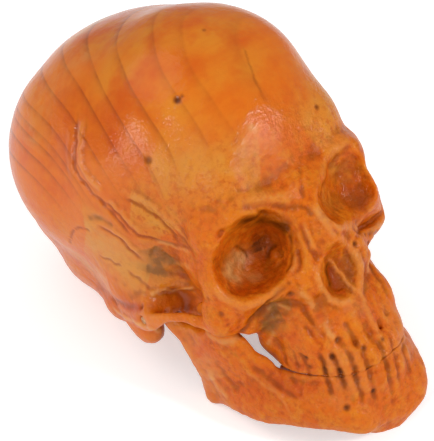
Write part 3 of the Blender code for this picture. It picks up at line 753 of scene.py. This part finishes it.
def within(co, middle, radii):
    """1 well inside an ellipsoid, 0 outside it, on both sides of the skull; in mm."""
    weight = np.zeros(len(co))
    for side in BOTH:
        away = (co / MM - np.array((side * middle[0], *middle[1:]))) / np.array(radii)
        weight = np.maximum(weight, np.clip(2 * (1 - np.linalg.norm(away, axis=1)), 0, 1))
    return weight


def falloff(distance, width):
    """1 on a stroke, smoothly down to 0 at its width."""
    t = np.clip(1 - distance / width, 0, 1)
    return t * t * (3 - 2 * t)


def follow(pixels, step):
    """Pixels about a step apart along a line of them."""
    out = []
    for (x0, y0), (x1, y1) in zip(pixels, pixels[1:]):
        count = max(1, round(math.hypot(x1 - x0, y1 - y0) / step))
        out += [(x0 + (x1 - x0) * k / count, y0 + (y1 - y0) * k / count) for k in range(count)]
    return out + [pixels[-1]]


def waver(pixels):
    """A line of pixels with the unsteadiness of a hand."""
    out = []
    for x, y in pixels:
        sway = noise.noise_vector(Vector((x, y, 0)) * WAVER_RATE)
        out.append((x + sway.x * WAVER_REACH, y + sway.y * WAVER_REACH))
    return out


def round_corners(pixels):
    """Cuts the corners of a line of pixels."""
    cut = [pixels[0]]
    for (ax, ay), (bx, by) in zip(pixels, pixels[1:]):
        cut.append((0.75 * ax + 0.25 * bx, 0.75 * ay + 0.25 * by))
        cut.append((0.25 * ax + 0.75 * bx, 0.25 * ay + 0.75 * by))
    return cut + [pixels[-1]]


# The steps of the carving

def rim_depths(tree, side, middle, turns, reaches, depth, fade):
    """The depth of the crest of a bowl's rim, for each direction round its middle."""
    crest = []
    for turn, reach in zip(turns, reaches):
        tried = [math.inf]
        for share in np.linspace(1, fade, RIM_TRIES):
            pixel = middle[0] + math.cos(turn) * reach * share, middle[1] + math.sin(turn) * reach * share
            tried.append(depth_at(tree, pixel, side))
        crest.append(np.nanmin(tried))
    return np.minimum(crest, np.median(crest) + depth / 2)


def hollow_out(wood, middle, rim, depth, fade, sides):
    """Makes a bowl that hangs from its rim: pixels of its deepest place and of the rim, depth in metres."""
    tree = wood.tree()
    outline = np.array(round_corners(round_corners(rim + rim[:1])), float)[:-1] - middle
    turns = np.arctan2(outline[:, 1], outline[:, 0])
    order = np.argsort(turns)
    turns = turns[order]
    reaches = np.linalg.norm(outline, axis=1)[order]
    for side in sides:
        eye = eye_on(side)
        crest = rim_depths(tree, side, middle, turns, reaches, depth, fade)
        bottom = crest.mean() + depth
        x, y, far = seen_at(wood.co, side)
        angle = np.arctan2(y - middle[1], x - middle[0])
        edge = np.interp(angle, turns, reaches, period=2 * math.pi)
        lid = np.interp(angle, turns, crest, period=2 * math.pi)
        share = np.hypot(x - middle[0], y - middle[1]) / edge
        near = (share < fade) & (far > lid - depth / 2) & (far < bottom + BOWL_LOWEST)
        index = np.nonzero(near)[0]
        heart = eye + ray_on(middle, side) * (crest.mean() + BOWL_HEART_SHARE * depth)
        inward = np.sum(wood.normal[index] * (np.array(heart) - wood.co[index]), axis=1) > 0
        shown = np.array([is_seen(tree, eye, point) for point in wood.co[index]], bool)
        index = index[inward | shown]
        bend = np.clip(share[index], 0, 1) ** BOWL_POWER
        goal = bottom + (lid[index] - bottom) * bend
        weight = np.clip((fade - share[index]) / (fade - 1), 0, 1) ** BOWL_FADE_POWER
        wood.slide(index, side, far, goal, weight)
    wood.refresh()


def row_depths(tree, pixels, side):
    """The depth of a row of teeth at pixels along it, evened out."""
    depths = np.array([depth_at(tree, pixel, side) for pixel in pixels])
    depths[np.isnan(depths)] = np.nanmedian(depths)
    return np.convolve(np.pad(depths, BITE_BLUR // 2, "edge"), np.ones(BITE_BLUR) / BITE_BLUR, "valid")


def close_bite(wood, side):
    """Brings both rows of teeth to one surface along the bite, and their lips together."""
    tree = wood.tree()
    line = np.array(follow(round_corners(SEAM), BITE_STEP))
    along = np.gradient(line, axis=0)
    across = np.stack([-along[:, 1], along[:, 0]], axis=1)
    across /= np.linalg.norm(across, axis=1)[:, None]
    upper = row_depths(tree, line - BITE_REACH * across, side)
    lower = row_depths(tree, line + BITE_REACH * across, side)
    x, y, far = seen_at(wood.co, side)
    index = np.nonzero((far > upper.min() - BITE_THICK) & (far < lower.max() + BITE_THICK))[0]
    place = np.stack([x[index], y[index]], axis=1)
    gaps = np.linalg.norm(place[:, None] - line[None], axis=2)
    near = gaps.min(axis=1) < BITE_REACH
    index, place, nearest = index[near], place[near], gaps.argmin(axis=1)[near]
    offset = np.sum((place - line[nearest]) * across[nearest], axis=1)
    share = offset / BITE_REACH
    goal = upper[nearest] + (lower - upper)[nearest] * (share + 1) / 2
    ends = np.clip(BITE_ENDS * np.minimum(nearest, len(line) - 1 - nearest) / len(line), 0, 1)
    weight = np.clip(BITE_FLATNESS * (1 - share ** 2), 0, 1) * ends
    weight = weight * (np.abs(far[index] - goal) < BITE_THICK)
    wood.slide(index, side, far, goal, weight)
    shut = -offset * LIP_SHARE * np.exp(-(offset / LIP_REACH) ** 4) * ends * far[index] / CAM_FOCAL
    step = across[nearest] * shut[:, None]
    move = step[:, :1] * np.array(RIGHT) - step[:, 1:] * np.array(UP)
    wood.co[index] += move * np.array((side, 1, 1))
    wood.refresh()


def melt_leftovers(wood):
    """Melts what the solids' sockets and roots leave."""
    tree = wood.tree()
    weight = np.zeros(len(wood.co))
    for pixel, width in MELTED:
        spot = tree.ray_cast(EYE, pixel_ray(*pixel))[0]
        gap = np.linalg.norm(wood.co - np.array(spot), axis=1)
        weight = np.maximum(weight, falloff(gap, width * MM))
    wood.soften(MELTED_REACH, weight)


class Hand:
    """Puts strokes and spots on the wood where the photograph has them."""

    def __init__(self, wood):
        self.wood = wood
        self.tree = wood.tree()
        self.lift = np.zeros(len(wood.co))

    def reach(self, pixels, width, side, through):
        """Points near a line: which, how far off, and how far along it."""
        hits = [self.tree.ray_cast(EYE, pixel_ray(*pixel)) for pixel in pixels]
        hits = [hit for hit in hits if hit[0] is not None]
        if not hits:
            return None
        mirror = np.array((side, 1, 1))
        line = np.array([hit[0] for hit in hits]) * mirror
        facing = np.array([hit[1] for hit in hits]) * mirror
        co = self.wood.co
        near = np.all((co > line.min(0) - width) & (co < line.max(0) + width), axis=1)
        index = np.nonzero(near)[0]
        best = np.full(len(index), np.inf)
        which = np.zeros(len(index), int)
        for k, point in enumerate(line):
            gap = np.linalg.norm(co[index] - point, axis=1)
            closer = gap < best
            best[closer] = gap[closer]
            which[closer] = k
        keep = best < width
        if not through:
            keep &= np.sum(self.wood.normal[index] * facing[which], axis=1) > FACING_LEAST
        return index[keep], best[keep], which[keep] / max(1, len(line) - 1)

    def stroke(self, width, lift, stains_and_painted_light, pixels, sides=HERE, through=False):
        """A line cut (lift below 0) or left standing (above 0), in mm, and painted: with the wood's own
        colours, painted shade and painted highlight.
        """
        line = pixels
        if len(pixels) > 1:
            line = waver(follow(round_corners(round_corners(pixels)), max(STEP_LEAST, width)))
        for side in sides:
            found = self.reach(line, width * MM, side, through)
            if found is None:
                continue
            index, gap, run = found
            press = noise_rows(self.wood.co[index], PRESS_SCALE)
            shape = falloff(gap, width * MM) * np.clip(1 + PRESS_SWAY * press, PRESS_LEAST, PRESS_MOST)
            if len(line) > 3:
                shape = shape * np.clip(END_TAPER * run * (1 - run), END_LEAST, 1)
            self.lift[index] += shape * lift * STROKE_STRENGTH * MM
            for name, amount in stains_and_painted_light.items():
                layer = self.wood.paint[name]
                layer[index] = np.clip(layer[index] + shape * amount, 0, 1)

    def pull(self, width, start, end, sides):
        """Drags the wood near one pixel towards another, as a thumb drags clay; width in mm."""
        hit = self.tree.ray_cast(EYE, pixel_ray(*start))
        if hit[0] is None:
            return
        move = (RIGHT * (end[0] - start[0]) - UP * (end[1] - start[1])) * (hit[3] / CAM_FOCAL)
        for side in sides:
            mirror = np.array((side, 1, 1))
            gap = np.linalg.norm(self.wood.co - np.array(hit[0]) * mirror, axis=1)
            self.wood.co += falloff(gap, width * MM)[:, None] * np.array(move) * mirror

    def carve(self):
        """Moves the points by what the strokes add up to."""
        self.wood.co += self.wood.normal * self.lift[:, None]
        self.lift[:] = 0
        self.wood.refresh()


def mirrored(rows):
    """Strokes of one table, for both sides of the skull."""
    return [(*row, BOTH) for row in rows]


def through(rows):
    """Strokes of one table that reach all that lies near, whichever way it faces."""
    return [(*row, HERE, True) for row in rows]


def roughen(wood):
    """The marks of the tools, stronger on the face and the base than on the sanded dome."""
    forwards, downwards = -wood.co[:, 1], -wood.co[:, 2]
    face = ramp(forwards, *TOOLED_IN_FRONT) * ramp(downwards, *TOOLED_BELOW)
    base = ramp(downwards, *BASE_BELOW)
    depth = TOOL_DEPTH * (SANDED_SHARE + (1 - SANDED_SHARE) * np.maximum(face, base))
    fine = noise_rows(wood.co, TOOL_WIDTH / TOOL_FINENESS)
    marks = noise_rows(wood.co, TOOL_WIDTH) + TOOL_FINE_SHARE * fine
    wood.co += wood.normal * (depth * marks)[:, None]
    wood.refresh()


def paint_zones(wood):
    """Paints what follows from the relief, painted shade in creases and hollows and, partly, painted highlight
    on ridges, and from the place on the skull.
    """
    fine = wood.hollow(wood.spread(wood.co, FINE_PASSES))
    broad = wood.hollow(wood.spread(wood.co, BROAD_PASSES))
    # Painted shade in the fine creases.
    wood.paint["cavity"] = ramp(fine, 0, FINE_DEPTH)
    # Ridges lightened: partly wear, partly painted highlight.
    wood.paint["edge"] = ramp(-fine, 0, FINE_DEPTH)
    # Painted shade in broad hollows, which are also stained redder.
    wood.paint["hollow"] = ramp(broad, BROAD_START, BROAD_DEPTH)
    high = ramp(wood.co[:, 2], *RINGS_ABOVE)
    behind = ramp(wood.co[:, 1], *RINGS_BEHIND)
    front = ramp(-wood.co[:, 1], *WORKED_IN_FRONT)
    wood.paint["rings"] = np.maximum(high, behind)
    # The face's zone, which the material also darkens as painted shade.
    wood.paint["worked_and_shaded"] = np.maximum(front, WORKED_LEAST) * (1 - high)


def carve():
    """The fine carving of all the pieces."""
    wood = Wood([rough_out(node) for _, _, node, _ in PIECES])
    wood.melt_facets()
    wood.soften(FIRST_REACH)
    wood.soften(TEETH_REACH, TEETH_WEIGHT * within(wood.co, *TEETH_PLACE))
    thumb = Hand(wood)
    for row in PULLS:
        thumb.pull(*row)
    wood.refresh()
    for middle, rim, depth, fade, sides in HOLLOWS:
        hollow_out(wood, middle, rim, depth * MM, fade, sides)
    wood = Wood([even_mesh(mesh) for mesh in wood.meshes])
    wood.soften(SOCKET_REACH, within(wood.co, *SOCKET_PLACE))
    wood.soften(EVEN_REACH)
    for side in BOTH:
        close_bite(wood, side)
    melt_leftovers(wood)
    hand = Hand(wood)
    for row in mirrored(SOCKET_RIM + CHEEK) + through(SOCKET_INSIDE):
        hand.stroke(*row)
    hand.carve()
    wood.soften(STROKE_REACH, STROKE_WEIGHT)
    for row in mirrored(TEMPLE + JAW + WASHES):
        hand.stroke(*row)
    for row in TEETH + NOSE + NOSE_INSIDE + DOME + LEFT_SOCKET:
        hand.stroke(*row)
    hand.carve()
    roughen(wood)
    wood.soften(LAST_REACH)
    paint_zones(wood)
    return wood


def add_piece(wood, which, name, body, node, material):
    """One carved piece, back in the row's frame, in place of its CAD node."""
    mesh = wood.meshes[which]
    start, end = wood.spans[which]
    for stain_and_painted_light, layer in wood.paint.items():
        mesh.attributes.new(stain_and_painted_light, "FLOAT", "POINT").data.foreach_set("value", layer[start:end])
    mesh.transform(TO_WORLD)
    mesh.shade_smooth()
    mesh.materials.clear()
    mesh.materials.append(material)
    piece = link(bpy.data.objects.new(name, mesh))
    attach(piece, body)
    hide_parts(node)


# Materials

class Nodes:
    """A material's nodes: each call adds one and links what it is given."""

    def __init__(self, name):
        self.material = bpy.data.materials.new(name)
        self.material.use_nodes = True
        self.tree = self.material.node_tree
        self.tree.nodes.clear()

    def fill(self, socket, value):
        """Links a socket to another one, or sets its value."""
        if isinstance(value, bpy.types.NodeSocket):
            self.tree.links.new(value, socket)
        else:
            socket.default_value = value

    def add(self, kind, inputs=None, **settings):
        node = self.tree.nodes.new("ShaderNode" + kind)
        for key, value in settings.items():
            setattr(node, key, value)
        for key, value in (inputs or {}).items():
            self.fill(node.inputs[key], value)
        return node

    def math(self, operation, a, b=0.0):
        return self.add("Math", {0: a, 1: b}, operation=operation).outputs[0]

    def line(self, value, slope, start):
        """What follows a value in a straight line."""
        return self.math("ADD", self.math("MULTIPLY", value, slope), start)

    def vector(self, operation, a, b=(0, 0, 0), **inputs):
        return self.add("VectorMath", {0: a, 1: b, **inputs}, operation=operation)

    def place(self):
        return self.add("TexCoord").outputs["Object"]

    def mapped(self, vector, stretch, turn=(0, 0, 0)):
        return self.add("Mapping", {"Vector": vector, "Rotation": turn, "Scale": stretch}).outputs[0]

    def noise(self, vector, scale, detail, roughness):
        inputs = {"Vector": vector, "Scale": scale, "Detail": detail, "Roughness": roughness}
        return self.add("TexNoise", inputs).outputs["Fac"]

    def stretch(self, value, low, high):
        """0 at low, 1 at high, clamped."""
        inputs = {"Value": value, "From Min": low, "From Max": high}
        return self.add("MapRange", inputs, clamp=True).outputs["Result"]

    def bump(self, height, settings):
        return self.add("Bump", {"Height": height, **settings}).outputs[0]

    def mix(self, factor, a, b):
        node = self.add("Mix", data_type="RGBA")
        self.fill(node.inputs[0], factor)
        for socket, colour in ((node.inputs[6], a), (node.inputs[7], b)):
            self.fill(socket, colour if isinstance(colour, bpy.types.NodeSocket) else (*colour, 1))
        return node.outputs[2]

    def tint(self, colour, towards, amount, *factors):
        """Mixes a colour in, by an amount times some factors."""
        for factor in factors:
            amount = self.math("MULTIPLY", factor, amount)
        return self.mix(amount, colour, towards)

    def stain_and_painted_light(self, name):
        return self.add("Attribute", attribute_name=name).outputs["Fac"]

    def surface(self, **inputs):
        """Ends the material with a principled shader; an underscore in a name stands for a space."""
        shader = self.add("BsdfPrincipled", {key.replace("_", " "): value for key, value in inputs.items()})
        self.add("OutputMaterial", {"Surface": shader.outputs[0]})
        return self.material


def ring_shade(nodes, place):
    """1 at the dark edge of each growth ring, fading towards the pith, with a slow sway in the rings."""
    axis = TO_WORLD.to_3x3() @ RING_AXIS
    centre = TO_WORLD @ RING_CENTRE
    warp = nodes.add("TexNoise", {"Vector": place, "Scale": RING_SWAY_SCALE, "Detail": 1.0}).outputs["Color"]
    centred = nodes.vector("SUBTRACT", warp, (0.5, 0.5, 0.5)).outputs[0]
    sway = nodes.vector("SCALE", centred, Scale=RING_SWAY).outputs[0]
    bent = nodes.vector("ADD", place, sway).outputs[0]
    away = nodes.vector("SUBTRACT", bent, centre).outputs[0]
    cross = nodes.vector("CROSS_PRODUCT", away, axis).outputs[0]
    radius = nodes.vector("LENGTH", cross).outputs["Value"]
    total = 0.0
    for ring in RING_RADII:
        inside = nodes.stretch(radius, (ring - RING_FADE) * MM, ring * MM)
        outside = nodes.stretch(radius, (ring + RING_EDGE) * MM, ring * MM)
        strength = min(1.0, max(RING_FAINTEST, (RING_FAR - ring) / RING_FADING))
        edge = nodes.math("MULTIPLY", nodes.math("POWER", inside, RING_POWER), outside)
        total = nodes.math("MAXIMUM", total, nodes.math("MULTIPLY", edge, strength))
    return total


def wood_material(name, shift):
    """Oiled wood: rings, fibres along the rings' axis, its own colours with painted shade and painted
    highlight, and a fine relief.
    """
    nodes = Nodes(name)
    place = nodes.place()
    own = nodes.vector("ADD", place, (shift, shift, shift)).outputs[0]
    turn = (TO_WORLD.to_3x3() @ RING_AXIS).rotation_difference(Vector((1, 0, 0))).to_euler()
    fibre = nodes.mapped(own, FIBRE_STRETCH, turn)
    found = {stain_and_painted_light: nodes.stain_and_painted_light(stain_and_painted_light) for stain_and_painted_light in STAINS_AND_PAINTED_LIGHT}
    for key, (along, *settings) in NOISES.items():
        found[key] = nodes.noise(fibre if along else own, *settings)
    found["ring edges"] = ring_shade(nodes, place)
    found["marked"] = nodes.line(found["worked_and_shaded"], *MARKED_BY_WORKED)
    found["veins"] = nodes.math("ABSOLUTE", nodes.math("SUBTRACT", found["marbling"], 0.5))

    colour = ORANGE
    for towards, amount, *limits in LAYERS:
        factors = []
        for limit in limits:
            key, *ends = (limit,) if isinstance(limit, str) else limit
            factors.append(nodes.stretch(found[key], *ends) if ends else found[key])
        colour = nodes.tint(colour, towards, amount, *factors)

    height = 0.0
    for key, share in RELIEF_SHARES.items():
        height = nodes.math("ADD", height, nodes.math("MULTIPLY", found[key], share))
    height = nodes.math("MULTIPLY", height, nodes.line(found["worked_and_shaded"], *RELIEF_BY_WORKED))
    relief = nodes.bump(height, RELIEF)
    return nodes.surface(
        Base_Color=colour,
        Roughness=nodes.line(found["mottle"], *ROUGHNESS_BY_MOTTLE),
        Normal=relief,
        Specular_IOR_Level=WOOD_SPECULAR,
        Coat_Weight=nodes.line(found["worked_and_shaded"], *GLOSS_BY_WORKED),
        Coat_Roughness=OIL_ROUGHNESS,
        Coat_Normal=relief,
    )


def dowel_material():
    nodes = Nodes("dowel wood")
    grain = nodes.noise(nodes.mapped(nodes.place(), DOWEL_STRETCH), *DOWEL_GRAIN)
    colour = nodes.tint(DOWEL, RING, 1.0, nodes.stretch(grain, *DOWEL_DARKENING))
    return nodes.surface(Base_Color=colour, Roughness=DOWEL_ROUGHNESS, Normal=nodes.bump(grain, DOWEL_RELIEF))


# Light and floor

def add_softbox(name, towards, width, height, level):
    """A soft box whose light on a surface that faces it renders white as level."""
    data = bpy.data.lights.new(name, "AREA")
    data.shape = "ELLIPSE"
    data.size = width
    data.size_y = height
    data.energy = level * math.pi ** 2 * LAMP_DISTANCE ** 2
    lamp = link(bpy.data.objects.new(name, data))
    towards = Vector(towards).normalized()
    lamp.location = MIDDLE + towards * LAMP_DISTANCE
    lamp.rotation_euler = towards.to_track_quat("Z", "Y").to_euler()


def add_world():
    """Even light from all sides."""
    world = bpy.data.worlds.new("studio")
    world.use_nodes = True
    background = world.node_tree.nodes["Background"]
    background.inputs["Color"].default_value = WHITE
    background.inputs["Strength"].default_value = EVEN_LEVEL
    bpy.context.scene.world = world


def add_floor():
    """A pale floor that shows white to the camera and keeps its shadow."""
    mesh = bpy.data.meshes.new("floor")
    corners = [(x * FLOOR_HALF, y * FLOOR_HALF, 0) for x, y in ((-1, -1), (1, -1), (1, 1), (-1, 1))]
    mesh.from_pydata(corners, [], [(0, 1, 2, 3)])
    floor = link(bpy.data.objects.new("floor", mesh))
    nodes = Nodes("floor")
    path = nodes.add("LightPath").outputs
    seen = nodes.math("MAXIMUM", path["Is Camera Ray"], path["Is Glossy Ray"])
    seen = nodes.math("MAXIMUM", seen, path["Is Transmission Ray"])
    mesh.materials.append(nodes.surface(
        Base_Color=(*FLOOR, 1),
        Roughness=FLOOR_ROUGHNESS,
        Specular_IOR_Level=FLOOR_SPECULAR,
        Emission_Color=WHITE,
        Emission_Strength=nodes.math("MULTIPLY", seen, FLOOR_GLOW),
    ))


def main():
    bpy.context.scene.view_settings.view_transform = "Standard"
    add_camera()
    add_floor()
    add_world()
    for lamp in LAMPS:
        add_softbox(*lamp)
    noise.seed_set(WAVER_SEED)
    wood = carve()
    for which, (name, body, node, shift) in enumerate(PIECES):
        add_piece(wood, which, name, body, node, wood_material(node + " wood", shift))
    dowel = dowel_material()
    for side in ("left", "right"):
        pin = frame["nodes"]["jaw_pin_" + side]
        for slot in pin.material_slots:
            slot.material = dowel


main()
